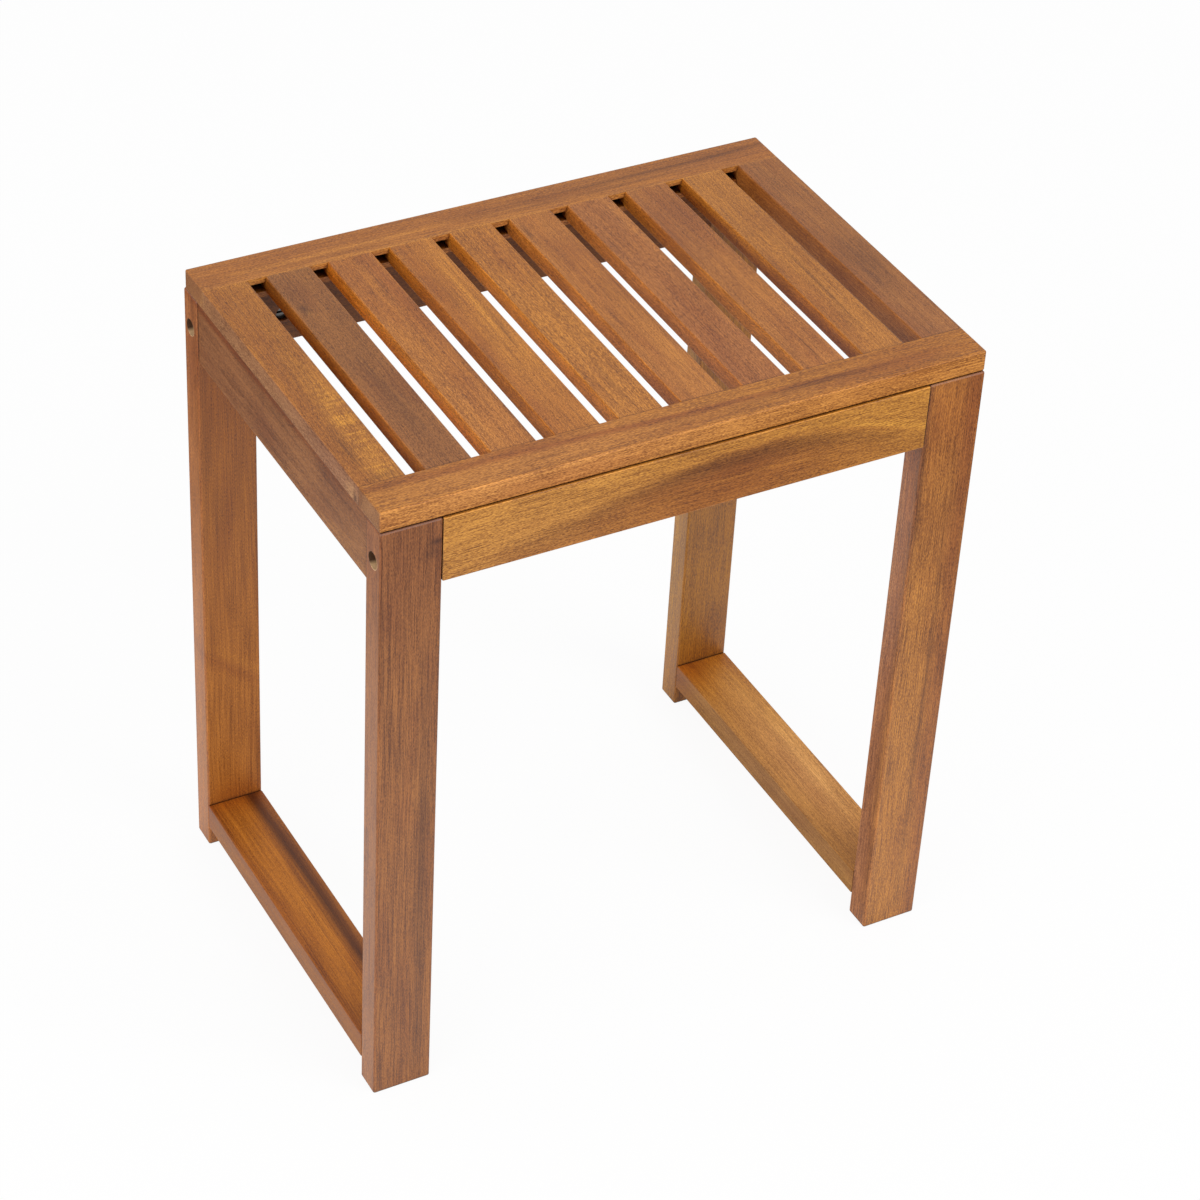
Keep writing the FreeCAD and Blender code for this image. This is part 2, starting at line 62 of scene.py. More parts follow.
class Tree:
    """Short words for building one material's nodes."""

    def __init__(self, name):
        self.material = bpy.data.materials.new(name)
        self.material.use_nodes = True
        self.nodes = self.material.node_tree.nodes
        self.links = self.material.node_tree.links
        self.nodes.clear()

    def put(self, socket, value):
        """Links a socket to another, or gives it a value of its own."""
        if isinstance(value, bpy.types.NodeSocket):
            self.links.new(value, socket)
        else:
            socket.default_value = value

    def add(self, kind, inputs=None, **settings):
        """A node with some settings, and inputs by name or number."""
        node = self.nodes.new(f"ShaderNode{kind}")
        for key, value in settings.items():
            setattr(node, key, value)
        for key, value in (inputs or {}).items():
            self.put(node.inputs[key], value)
        return node

    def math(self, operation, *values):
        """One arithmetic step."""
        return self.add("Math", dict(enumerate(values)), operation=operation).outputs[0]

    def total(self, *values):
        """Adds up several values."""
        result = values[0]
        for value in values[1:]:
            result = self.math("ADD", result, value)
        return result

    def weighed(self, *pairs):
        """Adds up values, each times its weight."""
        return self.total(*(self.math("MULTIPLY", value, weight) for value, weight in pairs))

    def vector(self, operation, *vectors):
        """One step of vector arithmetic."""
        return self.add("VectorMath", dict(enumerate(vectors)), operation=operation).outputs[0]

    def scaled(self, vector, scale):
        """A vector times a number."""
        return self.add("VectorMath", {0: vector, "Scale": scale}, operation="SCALE").outputs[0]

    def measure(self, operation, *vectors):
        """A number measured on one or two vectors."""
        return self.add("VectorMath", dict(enumerate(vectors)), operation=operation).outputs["Value"]

    def combine(self, x, y, z):
        """A vector from three values."""
        return self.add("CombineXYZ", {0: x, 1: y, 2: z}).outputs[0]

    def step(self, value, low, high):
        """Rises smoothly from 0 at low to 1 at high."""
        inputs = {"Value": value, "From Min": low, "From Max": high}
        return self.add("MapRange", inputs, interpolation_type="SMOOTHSTEP").outputs[0]

    def noise(self, point, detail):
        """Noise about zero, at a point in units of its own grain."""
        texture = self.add("TexNoise", {"Vector": point, "Scale": 1.0, "Detail": detail})
        return self.math("SUBTRACT", texture.outputs[0], NOISE_MIDDLE)

    def noise_along(self, value, detail, roughness):
        """Noise about zero along one value."""
        inputs = {"W": value, "Scale": 1.0, "Detail": detail, "Roughness": roughness}
        texture = self.add("TexNoise", inputs, noise_dimensions="1D")
        return self.math("SUBTRACT", texture.outputs[0], NOISE_MIDDLE)

    def ramp(self, value, stops):
        """A colour that runs through stops, given as places and colours in rising order."""
        node = self.add("ValToRGB", {0: value})
        elements = node.color_ramp.elements
        for _ in range(len(stops) - len(elements)):
            elements.new(1.0)
        for element, (place, colour) in zip(elements, stops.items()):
            element.position = place
            element.color = (*colour, 1)
        return node.outputs[0]

    def mixed(self, share, colour, other, way):
        """Mixes a share of another colour into a colour."""
        inputs = {MIX_SHARE: share, MIX_FIRST: colour, MIX_SECOND: (*other, 1)}
        return self.add("Mix", inputs, data_type="RGBA", blend_type=way).outputs[MIX_RESULT]

    def tinted(self, share, colour, tint):
        """Lays a tint over a colour."""
        return self.mixed(share, colour, tint, "MULTIPLY")

    def covered(self, share, colour, cover):
        """Covers a colour with another."""
        return self.mixed(share, colour, cover, "MIX")

    def nearness(self, reach, colour=WHITE):
        """Tells how open a face is to its surroundings within reach, and darkens a colour by it."""
        return self.add("AmbientOcclusion", {"Color": colour, "Distance": reach}, samples=NEARNESS_SAMPLES)

    def finished(self, shader):
        """Puts the shader out and returns the material."""
        output = self.add("OutputMaterial")
        self.links.new(shader.outputs[0], output.inputs[0])
        return self.material


# Which way each board lies: the axes of its grain, across its main face and through its thickness, whether
# that face is on the high or the low side, how glossy the oil on it is, the tint of its worn edges, which also
# paints a highlight on them (a darker, duller line on the legs), and the tint of the sides next to its main
# face:
# a painted sheen on the rails and the outer slat, painted bounced light on the slats' sides in the slots, and
# darker sides on the stretchers
Lie = namedtuple("Lie", "along across through face gloss edge side")
RAIL = Lie(0, 1, 2, 1, 0.32, (1.15, 1.15, 1.10), (1.08, 1.15, 1.50))
APRON = Lie(0, 2, 1, -1, 0.42, (1.30, 1.30, 1.20), (1.00, 1.00, 1.00))
SLAT = Lie(1, 0, 2, 1, 0.32, (1.10, 1.05, 0.90), (1.25, 1.21, 0.82))
# The outer slat's outer side gets a painted bluish sheen
OUTER_SLAT = SLAT._replace(side=(0.75, 0.91, 2.70))
STRETCHER = Lie(1, 0, 2, 1, 0.32, (1.10, 1.05, 0.90), (0.72, 0.76, 0.98))
SIDE = Lie(1, 2, 0, -1, 0.55, (1.10, 1.05, 0.90), (1.00, 1.00, 1.00))
LEG = Lie(2, 0, 1, -1, 0.62, (1.00, 0.92, 0.80), (1.00, 1.00, 1.00))

# Wood colours of whole boards
GOLD = (0.400, 0.160, 0.018)
AMBER = (0.400, 0.144, 0.018)
TAN = (0.370, 0.128, 0.020)
RED = (0.330, 0.110, 0.022)
BROWN = (0.260, 0.092, 0.019)
OLIVE = (0.270, 0.097, 0.005)
RUST = (0.360, 0.112, 0.010)
RAW = (0.750, 0.480, 0.250)

# Tints that stains lay over a board's colour; two of them paint light: a bluish sheen and a warm shade
DARK = (0.36, 0.30, 0.34)
RUSSET = (0.74, 0.62, 0.62)
MAUVE = (0.70, 0.64, 0.85)
PALE = (1.35, 1.50, 1.40)
# A painted bluish sheen
PAINTED_SHEEN = (1.05, 1.10, 1.80)
GLINT = (1.50, 1.70, 1.40)
# A painted warm shade, at the ends of boards and in nooks
PAINTED_WARM_SHADE = (0.82, 0.62, 0.28)
FLAME = (1.60, 1.20, 0.60)
ENDLESS = 5000

# The growth rings run about a heart that lies off the middle of the board's main face, across it and
# behind it. Where the log bends, the rings make an arch: where its crest is along the board, and how much it
# falls every ARCH_REACH far before and behind the crest.
HEART_ACROSS = -130
HEART_BEHIND = 50
Arch = namedtuple("Arch", "crest low_fall high_fall")
ARCH_REACH = 100
STRAIGHT = Arch(0, 0, 0)

# A stain, or a patch of painted sheen or shade, follows the rings, or keeps straight along the board: where it
# lies across and along the board, how far it spreads, how it drifts across along the board, and whether
# crosswise bars break it up.
Stain = namedtuple("Stain", "tint across width share along length drift broken straight",
                   defaults=(0, ENDLESS, 0, False, False))
# Place across and width of stains that cover a whole frame board or the left side of a slat, and the place of
# those on the left side of a leg, where they paint a sheen
WHOLE = (0, 60)
SLOT_SIDE = (-17, 2.5)
LEG_SIDE = -24

# Each board's lie, colour, how light it is, its stains and painted light, its arch, and how strong its
# figure, fibres, flecks and pores are. Places are counted from the board's middle.
Board = namedtuple("Board", "lie colour light stains arch figure fibres flecks pores",
                   defaults=((), STRAIGHT, 1.0, 1.0, 1.0, 1.0))
# Besides their own stains, the boards carry painted sheen on many faces and painted shade at ends and in nooks
BOARDS = {
    "front_top_rail": Board(RAIL, AMBER, 1.06, (
        Stain(RUSSET, 3.0, 3.2, 1.0, -30, 180, -0.03), Stain(DARK, -1.5, 3.0, 0.55, 95, 40),
        Stain(RUSSET, 3.5, 1.8, 0.6, -60, 150, -0.03), Stain(PALE, 6, 1.6, 0.45, 70, 100, -0.03),
        Stain(RUSSET, 11, 2.5, 0.6, -130, 90), Stain(RUSSET, 10, 3, 0.4, 150, 80),
        Stain(RUSSET, -4, 12, 0.55, 150, 90), Stain(PAINTED_SHEEN, -4, 20, 0.8, -110, 140)),
        figure=1.25),
    "rear_top_rail": Board(RAIL, TAN, 1.08, (
        Stain(RUSSET, 6, 8, 0.4, -100, 140), Stain(PALE, -3.5, 1.2, 0.7, -110, 110),
        Stain(DARK, 0.8, 2.8, 0.65, 150, 130, 0.018), Stain(DARK, -4, 2, 0.35, 100, 70),
        Stain(RUSSET, 0, 20, 0.45, 180, 60), Stain(PALE, -12.5, 1.2, 0.8))),
    "slat_01": Board(OUTER_SLAT, AMBER, 1.0, (
        Stain(RUSSET, -9, 7, 0.65), Stain(GLINT, 7, 7, 0.9, -50, 42, broken=True),
        Stain(DARK, -4, 3, 0.45, -75, 18), Stain(GLINT, 0, 20, 0.5, -100, 5, broken=True),
        Stain(DARK, 0, 20, 0.5, -105, 4, broken=True),
        Stain(PALE, -17, 2.5, 0.9, -101, 7), Stain(DARK, -17, 1, 0.9, -106, 2))),
    "slat_02": Board(SLAT, BROWN, 1.06, (
        Stain(DARK, -7, 2.6, 0.75, 68, 5), Stain(PALE, -7, 1.1, 0.9, 63, 2.2),
        Stain(DARK, 0, 5, 0.3, -50, 50), Stain(FLAME, *SLOT_SIDE, 0.6))),
    "slat_03": Board(SLAT, TAN, 1.12, (
        Stain(RUSSET, 9, 6, 0.9, 60, 70), Stain(DARK, 13, 3, 0.5, -60, 80),
        Stain(PALE, -7, 7, 0.25, -60, 60), Stain(PALE, *SLOT_SIDE, 0.6), Stain(FLAME, *SLOT_SIDE, 0.5))),
    "slat_04": Board(SLAT, AMBER, 1.18, (
        Stain(PALE, 4.5, 2, 0.6, 50, 45), Stain(DARK, 7, 1.0, 0.5, -5, 20), Stain(RUSSET, -10, 5, 0.7),
        Stain(RUSSET, 2, 8, 0.5, -90, 40), Stain(RUSSET, *SLOT_SIDE, 0.5))),
    "slat_05": Board(SLAT, AMBER, 1.13, (
        Stain(RUSSET, 0, 40, 0.4, 85, 50), Stain(DARK, -1, 2, 0.4, -75, 25), Stain(PAINTED_SHEEN, *SLOT_SIDE, 1.0))),
    "slat_06": Board(SLAT, TAN, 1.1, (
        Stain(DARK, -10, 1.2, 0.7, 92, 9), Stain(RUSSET, -4, 7, 0.4, 40, 70),
        Stain(PALE, 8, 8, 0.4, -80, 50), Stain(PAINTED_SHEEN, *SLOT_SIDE, 1.0))),
    "slat_07": Board(SLAT, RED, 1.07, (
        Stain(PALE, 11, 3, 0.4, 70, 40), Stain(RUSSET, -8, 6, 0.5, -70, 40),
        Stain(PALE, *SLOT_SIDE, 0.5), Stain(PAINTED_SHEEN, *SLOT_SIDE, 0.6))),
    "slat_08": Board(SLAT, TAN, 1.09, (
        Stain(MAUVE, 0, 40, 0.75, 70, 52), Stain(DARK, 0.6, 0.45, 1.0, -92, 14),
        Stain(PALE, *SLOT_SIDE, 0.3))),
    "slat_09": Board(SLAT, AMBER, 1.05, (
        Stain(DARK, 2.9, 0.8, 0.6, -30, 50, 0.03), Stain(RUSSET, -9, 6, 0.7, -55, 60),
        Stain(RUSSET, *SLOT_SIDE, 1.0), Stain(MAUVE, *SLOT_SIDE, 0.5))),
    "slat_10": Board(SLAT, BROWN, 1.22, (
        Stain(DARK, 2, 9, 0.4, -25, 30), Stain(PALE, -6, 6, 0.3, -65, 14), Stain(RUSSET, -12, 5, 0.5),
        Stain(PAINTED_SHEEN, -18, 3, 0.5)),
        figure=0.7, flecks=0.8),
    "front_apron": Board(APRON, GOLD, 1.1, (
        Stain(DARK, 6.5, 5.5, 0.6, 15, 105), Stain(RUSSET, 2, 11, 1.0, 15, 115),
        Stain(RUSSET, -14, 13, 1.0, 25, 100), Stain(RUSSET, -8, 16, 0.6, 40, 90),
        Stain(PALE, -4, 1.0, 0.6, 20, 70), Stain(DARK, 10.5, 0.8, 0.3, 40, 80),
        Stain(PAINTED_SHEEN, *WHOLE, 0.8, -120, 90), Stain(PALE, 17, 2, 0.5, 130, 40),
        Stain(RUSSET, 14, 2, 0.4, 110, 30)),
        arch=Arch(45, 24, 45), fibres=1.2, flecks=0.9, pores=0.8),
    # The rear apron is darker, as painted shade for the shadow under the seat on its inner face
    "rear_apron": Board(APRON, RUST, 0.5),
    "left_side_apron": Board(SIDE, BROWN, 0.92, (
        Stain(RUSSET, -8, 9, 0.8, 20, 18), Stain(RUSSET, 14, 6, 0.8, -75, 22),
        Stain(RUSSET, 0, 40, 0.4, 80, 70), Stain(PALE, -14, 14, 0.25, -100, 50),
        Stain(PAINTED_SHEEN, *WHOLE, 0.4), Stain(DARK, 0, 40, 0.6, -120, 0.6), Stain(DARK, 0, 40, 0.6, 120, 0.6),
        # A band of painted warm shade along the top, under the edge of the seat
        Stain(PAINTED_WARM_SHADE, 20, 3.2, 1.0, 121, 260, -0.0124, straight=True),
        Stain(PAINTED_WARM_SHADE, 20, 3.0, 0.7, 121, 260, -0.0124, straight=True)),
        figure=1.1, flecks=0.8, pores=0.5),
    "right_side_apron": Board(SIDE, RED, 0.95),
    # The stretchers' darker rear ends are painted shade, and their bluish haze a painted sheen
    "left_stretcher": Board(STRETCHER, RUST, 1.04, (
        Stain(DARK, 12, 5.5, 1.0), Stain(DARK, 10, 3, 0.5), Stain(PAINTED_SHEEN, 17, 4, 0.8),
        Stain(PALE, -3, 7, 0.5, 10, 90), Stain(PAINTED_WARM_SHADE, *WHOLE, 0.8, 122, 14),
        Stain(DARK, 5, 1, 0.4, -20, 60, -0.02), Stain(RUSSET, -17, 4, 0.7)),
        fibres=0.9, flecks=0.6, pores=0.4),
    "right_stretcher": Board(STRETCHER, GOLD, 1.13, (
        Stain(PAINTED_WARM_SHADE, *WHOLE, 1.0, 124, 20), Stain(PAINTED_WARM_SHADE, -14, 12, 0.9, 112, 26),
        Stain(PALE, 12, 9, 0.6, -10, 100), Stain(PAINTED_SHEEN, *WHOLE, 0.9, -20, 110),
        Stain(PAINTED_SHEEN, 10, 20, 1.0, -20, 110), Stain(PAINTED_SHEEN, -21, 4, 0.5)),
        fibres=0.8, flecks=0.6, pores=0.4),
    # The legs' darker, warmer tops and feet are painted shade, and the haze on their left sides a painted
    # sheen
    "front_left_leg": Board(LEG, RED, 0.80, (
        Stain(DARK, 10, 4, 0.5, -60, 170), Stain(DARK, 15, 5, 0.95, 203, 2.0),
        Stain(DARK, 12, 4, 0.5, 196, 4), Stain(RUSSET, *WHOLE, 0.55, 205, 60),
        Stain(PALE, 8, 12, 0.3, -5, 50), Stain(DARK, -18, 0.9, 0.6, 170, 60),
        Stain(PAINTED_SHEEN, LEG_SIDE, 5, 0.7), Stain(PALE, LEG_SIDE, 4, 0.3)),
        fibres=1.5, flecks=0.8, pores=0.9),
    "front_right_leg": Board(LEG, AMBER, 0.95, (
        Stain(RUSSET, 14, 7, 1.0), Stain(DARK, 4, 1.4, 0.5, -30, 140),
        Stain(DARK, -17.5, 2.5, 0.7, 150, 70), Stain(RUSSET, -21, 4, 0.8),
        Stain(PAINTED_WARM_SHADE, *WHOLE, 0.6, 195, 45), Stain(PAINTED_SHEEN, LEG_SIDE, 6, 1.0), Stain(PAINTED_SHEEN, LEG_SIDE, 5, 0.9)),
        fibres=1.6, flecks=0.9, pores=0.9),
    "rear_left_leg": Board(LEG, RUST, 0.92, (
        Stain(RUSSET, *WHOLE, 0.75, 180, 75), Stain(PALE, *WHOLE, 0.2, -90, 70),
        Stain(RUSSET, -80, 6, 0.6, -73, 22, -1.1), Stain(PALE, -68, 4, 0.3, -73, 22, -1.1),
        Stain(PAINTED_WARM_SHADE, 6, 25, 0.7, -183, 16), Stain(PAINTED_SHEEN, LEG_SIDE, 6, 1.0), Stain(PAINTED_SHEEN, LEG_SIDE, 5, 0.9),
        Stain(PAINTED_WARM_SHADE, *WHOLE, 0.9, 217, 3.5)),
        figure=0.9, fibres=0.9, flecks=0.8, pores=0.5),
    "rear_right_leg": Board(LEG, OLIVE, 1.0, (
        Stain(PAINTED_WARM_SHADE, *WHOLE, 0.6, -190, 30), Stain(PAINTED_SHEEN, LEG_SIDE, 6, 1.0), Stain(PALE, LEG_SIDE, 5, 0.7),
        Stain(PAINTED_SHEEN, LEG_SIDE, 5, 0.5)),
        fibres=1.3, flecks=0.8, pores=0.8),
}

# Joints between the slats and the rails: a dark line at the front, a pale one at the rear, and a painted sheen
# that fades from the front
SLAT_SEAMS_AND_SHEEN = (Stain(DARK, 0, ENDLESS, 0.8, -110.5, 0.8), Stain(PALE, 0, ENDLESS, 0.6, 110.5, 0.9),
              Stain(PAINTED_SHEEN, 0, ENDLESS, 0.3, -110, 90))

# Wood recipe: how far each part of the figure spans along and across the grain in millimetres, how strongly
# it shows, and its detail
Figure = namedtuple("Figure", "spans share detail")
WOBBLE = Figure((140, 45, 45), 7.0, 2.0)
CURL = Figure((28, 8, 8), 1.0, 2.0)
CLOUDS = Figure((45, 12, 12), 0.45, 1.0)
STREAKS = Figure((80, 1.5, 1.5), 0.4, 1.0)
FIBRES = Figure((35, 0.45, 0.45), 0.9, 0.0)
FLECKS = Figure((1.6, 0.28, 0.28), 1.8, 0.0)
BLUSH = Figure((90, 18, 18), 0.5, 2.0)
PORES = Figure((5, 0.35, 0.35), 0.6, 0.0)
RIPPLE = Figure((2.6, 24, 24), 1.0, 1.0)
RING_SPAN = 6
RING_SHARE = 0.26
RING_DETAIL = 3.0
RING_ROUGHNESS = 0.6
PORE_TINT = (0.50, 0.42, 0.40)
SEED_STEP = Vector((311, 173, 97))

# The board's own colour is in the middle of its range of light, and turns deep below and bright above it
MIDDLE_LIGHT = 0.5
DEEP_SHARES = (0.45, 0.37, 0.34)
BRIGHT_SHARES = (1.45, 1.60, 1.70)

# Between which values of their noise the pores, the blush, the crosswise bars and the wear and painted
# highlight of edges rise
PORE_STEP = (0.10, 0.18)
BLUSH_STEP = (0.0, 0.2)
RIPPLE_STEP = (-0.1, 0.15)
EDGE_WEAR_AND_HIGHLIGHT_STEP = (-0.2, 0.1)

# Gloss and bump
ROUGHNESS = 0.45
ROUGHNESS_SPREAD = 0.2
FIBRE_HEIGHT_SHARE = 0.6
PORE_HEIGHT_SHARE = -0.5
BUMP_SHARE = 0.3
BUMP_HEIGHT = 0.0001

# Ends, edges, joints and bolt holes: tints, among them a painted sheen on the end grain and painted shade in
# joints, hollows and the upper rear half of the bolt holes; how far off a neighbour darkens a face with
# painted shade, in metres, and where that sets in. The holes are in millimetres.
END_GRAIN_SHEEN_TINT = (0.70, 0.82, 1.75)
EDGE_STEP = (0.95, 0.6)
CREVICE_SHADE_TINT = (0.25, 0.17, 0.15)
CREVICE_SHADE_REACH = 0.003
CREVICE_SHADE_STEP = (0.85, 0.3)
HOLLOW_SHADE_TINT = (0.12, 0.08, 0.06)
HOLLOW_SHADE_REACH = 0.009
HOLLOW_SHADE_STEP = (0.55, 0.25)
HOLE_RADIUS = 5.7
HOLE_SHADE_TINT = (0.10, 0.07, 0.06)
HOLE_SHADE_STEP = (-3, 2)


def wood(name, board, seed):
    """Solid wood cut from a log of its own: growth rings, stains, fibres and pores, with painted sheen and
    shade.
    """
    tree = Tree(f"{name}_wood")
    lie = board.lie
    low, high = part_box(name)
    middle = (low + high) / 2
    here = tree.add("TexCoord").outputs["Object"]
    offset = tree.vector("SUBTRACT", here, middle)
    local = tree.add("SeparateXYZ", {0: tree.scaled(offset, MM_PER_METRE)}).outputs
    along = local[lie.along]
    across = local[lie.across]
    through = local[lie.through]
    half_thick = (high - low)[lie.through] / 2 * MM_PER_METRE
    depth = tree.math("MULTIPLY_ADD", through, -lie.face, half_thick)
    shift = SEED_STEP * seed
    sawn = tree.vector("ADD", tree.combine(along, across, through), shift)

    def drawn_out(point, figure):
        """Noise drawn out along the grain."""
        return tree.noise(tree.vector("DIVIDE", point, figure.spans), figure.detail)

    # Growth rings about the heart
    wobble = tree.weighed((drawn_out(sawn, WOBBLE), WOBBLE.share), (drawn_out(sawn, CURL), CURL.share))
    off_crest = tree.math("DIVIDE", tree.math("SUBTRACT", along, board.arch.crest), ARCH_REACH)
    fall = tree.math("MULTIPLY_ADD", tree.math("GREATER_THAN", off_crest, 0),
                     board.arch.high_fall - board.arch.low_fall, board.arch.low_fall)
    bow = tree.math("SQRT", tree.math("MULTIPLY_ADD", off_crest, off_crest, 1))
    bow = tree.math("MULTIPLY", fall, tree.math("SUBTRACT", bow, 1))
    side = tree.total(across, wobble, bow, -HEART_ACROSS)
    rise = tree.math("SUBTRACT", HEART_BEHIND, depth)
    heart_reach = math.hypot(HEART_ACROSS, HEART_BEHIND)
    radius = tree.math("SQRT", tree.math("MULTIPLY_ADD", side, side, tree.math("MULTIPLY", rise, rise)))
    ring = tree.math("SUBTRACT", radius, heart_reach)
    turn = tree.math("MULTIPLY", tree.math("ARCTAN2", rise, side), heart_reach)
    grain = tree.vector("ADD", tree.combine(along, ring, turn), shift)
    straight = tree.vector("ADD", tree.combine(along, tree.math("ADD", across, wobble), through), shift)

    # Figure of the wood, and how light it is
    ring_count = tree.math("MULTIPLY_ADD", ring, 1 / RING_SPAN, seed)
    bands = tree.noise_along(ring_count, RING_DETAIL, RING_ROUGHNESS)
    fibres = drawn_out(straight, FIBRES)
    streaks = drawn_out(grain, STREAKS)
    clouds = drawn_out(sawn, CLOUDS)
    pores = tree.step(drawn_out(straight, PORES), *PORE_STEP)
    flecks = drawn_out(straight, FLECKS)
    light = tree.weighed((bands, RING_SHARE * board.figure), (streaks, STREAKS.share * board.figure),
                         (clouds, CLOUDS.share * board.figure), (fibres, FIBRES.share * board.fibres),
                         (flecks, FLECKS.share * board.flecks))
    light = tree.math("ADD", light, MIDDLE_LIGHT)

    # Colour, from deep to bright, then the stains with their painted sheen and shade, and the pores
    tone = [value * board.light for value in board.colour]
    deep = [value * share for value, share in zip(tone, DEEP_SHARES)]
    bright = [value * share for value, share in zip(tone, BRIGHT_SHARES)]
    colour = tree.ramp(light, {0.0: deep, MIDDLE_LIGHT: tone, 1.0: bright})
    blush = tree.math("MULTIPLY", tree.step(drawn_out(sawn, BLUSH), *BLUSH_STEP), BLUSH.share)
    colour = tree.tinted(blush, colour, RUSSET)
    ripple = tree.math("MULTIPLY", tree.step(drawn_out(sawn, RIPPLE), *RIPPLE_STEP), RIPPLE.share)
    seams_and_sheen = SLAT_SEAMS_AND_SHEEN if name.startswith("slat") else ()
    for stain_or_painted_light in board.stains + seams_and_sheen:
        line = tree.math("MULTIPLY_ADD", along, stain_or_painted_light.drift, stain_or_painted_light.across)
        place = across if stain_or_painted_light.straight else ring
        off_line = tree.math("DIVIDE", tree.math("SUBTRACT", place, line), stain_or_painted_light.width)
        off_place = tree.math("DIVIDE", tree.math("SUBTRACT", along, stain_or_painted_light.along), stain_or_painted_light.length)
        square = tree.math("MULTIPLY_ADD", off_line, off_line, tree.math("MULTIPLY", off_place, off_place))
        share = tree.math("MULTIPLY", tree.math("EXPONENT", tree.math("MULTIPLY", square, -1)), stain_or_painted_light.share)
        if stain_or_painted_light.broken:
            share = tree.math("MULTIPLY", share, ripple)
        colour = tree.tinted(share, colour, stain_or_painted_light.tint)
    colour = tree.tinted(tree.math("MULTIPLY", pores, PORES.share * board.pores), colour, PORE_TINT)

    # Darker end grain with a painted sheen, sides tinted with painted light, worn edges with a painted
    # highlight, and painted shade in joints and hollows
    normal = tree.add("NewGeometry").outputs["True Normal"]
    squares = tree.vector("MULTIPLY", normal, normal)
    facing = tree.add("SeparateXYZ", {0: squares}).outputs
    # Darker end grain with a painted bluish sheen
    colour = tree.tinted(facing[lie.along], colour, END_GRAIN_SHEEN_TINT)
    # Painted sheen and bounced light on the sides next to the main face, and darker sides on the stretchers
    colour = tree.tinted(facing[lie.across], colour, lie.side)
    # Worn edges with a painted highlight, broken up by the clouds
    edge = tree.step(tree.measure("DOT_PRODUCT", squares, squares), *EDGE_STEP)
    colour = tree.tinted(tree.math("MULTIPLY", edge, tree.step(clouds, *EDGE_WEAR_AND_HIGHLIGHT_STEP)), colour, lie.edge)
    # Painted shade in joints and creases, within a few millimetres of a neighbour
    crevice_shade = tree.nearness(CREVICE_SHADE_REACH).outputs["AO"]
    colour = tree.tinted(tree.step(crevice_shade, *CREVICE_SHADE_STEP), colour, CREVICE_SHADE_TINT)
    # Painted shade deeper in hollows, grooves and slots
    hollow_shade = tree.nearness(HOLLOW_SHADE_REACH).outputs["AO"]
    colour = tree.tinted(tree.step(hollow_shade, *HOLLOW_SHADE_STEP), colour, HOLLOW_SHADE_TINT)

    # Raw wood inside the bolt holes of the legs, with painted shade in the upper rear half
    if lie is LEG:
        bolt_low, bolt_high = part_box("connector_bolts")
        bolt_along = ((bolt_low + bolt_high) / 2 - middle)[lie.along] * MM_PER_METRE
        above_bolt = tree.math("SUBTRACT", along, bolt_along)
        off_axis = tree.measure("LENGTH", tree.combine(above_bolt, through, 0))
        inside = tree.math("LESS_THAN", off_axis, HOLE_RADIUS)
        colour = tree.covered(inside, colour, RAW)
        # Painted shade in the upper rear half of each hole
        hole_shade = tree.step(tree.math("ADD", above_bolt, through), *HOLE_SHADE_STEP)
        colour = tree.tinted(tree.math("MULTIPLY", hole_shade, inside), colour, HOLE_SHADE_TINT)

    # Bump and gloss
    height = tree.weighed((fibres, FIBRE_HEIGHT_SHARE), (pores, PORE_HEIGHT_SHARE))
    bump = tree.add("Bump", {"Height": height, "Strength": BUMP_SHARE, "Distance": BUMP_HEIGHT})
    rough = tree.math("MULTIPLY_ADD", fibres, ROUGHNESS_SPREAD, ROUGHNESS)
    inputs = {"Base Color": colour, "Roughness": rough, "Specular IOR Level": lie.gloss,
              "Normal": bump.outputs[0]}
    return tree.finished(tree.add("BsdfPrincipled", inputs))


def dress(name, material):
    """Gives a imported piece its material."""
    slots = nodes[name].data.materials
    slots.clear()
    slots.append(material)


for seed, (name, board) in enumerate(BOARDS.items(), 1):
    dress(name, wood(name, board, seed))


# Fasteners: their colour, how metallic and how rough they are, and the pieces that have the finish
Finish = namedtuple("Finish", "colour metallic roughness pieces")
FINISHES = {
    # The steel is darker than zinc plating, as painted shade on the nuts deep in their holes
    "zinc_steel": Finish((0.32, 0.32, 0.31, 1), 1.0, 0.35, ("connector_bolts", "barrel_nuts", "seat_screws")),
    "dowel_wood": Finish((0.55, 0.38, 0.20, 1), 0.0, 0.6,
                         ("left_frame_dowels", "right_frame_dowels", "apron_dowels")),
}
GRAINS_PER_METRE = 900
GRAIN_DETAIL = 2.0


def plain(name, finish):
    """A finish that is the same all over, broken up by fine noise in its gloss, with painted shade in its
    hollows.
    """
    tree = Tree(name)
    here = tree.add("TexCoord").outputs["Object"]
    point = tree.scaled(here, GRAINS_PER_METRE)
    rough = tree.math("MULTIPLY_ADD", tree.noise(point, GRAIN_DETAIL), ROUGHNESS_SPREAD, finish.roughness)
    shaded = tree.nearness(HOLLOW_SHADE_REACH, finish.colour).outputs["Color"]
    inputs = {"Base Color": shaded, "Metallic": finish.metallic, "Roughness": rough}
    return tree.finished(tree.add("BsdfPrincipled", inputs))


for name, finish in FINISHES.items():
    material = plain(name, finish)
    for piece in finish.pieces:
        dress(piece, material)


# Floor: how much of it glows when it is seen and when it only lights the stool
FLOOR_SIZE = 12.0
FLOOR_COLOUR = (0.9, 0.9, 0.9, 1)
FLOOR_GLOW_SHARE = 0.93
FLOOR_LIFT_SHARE = 0.5
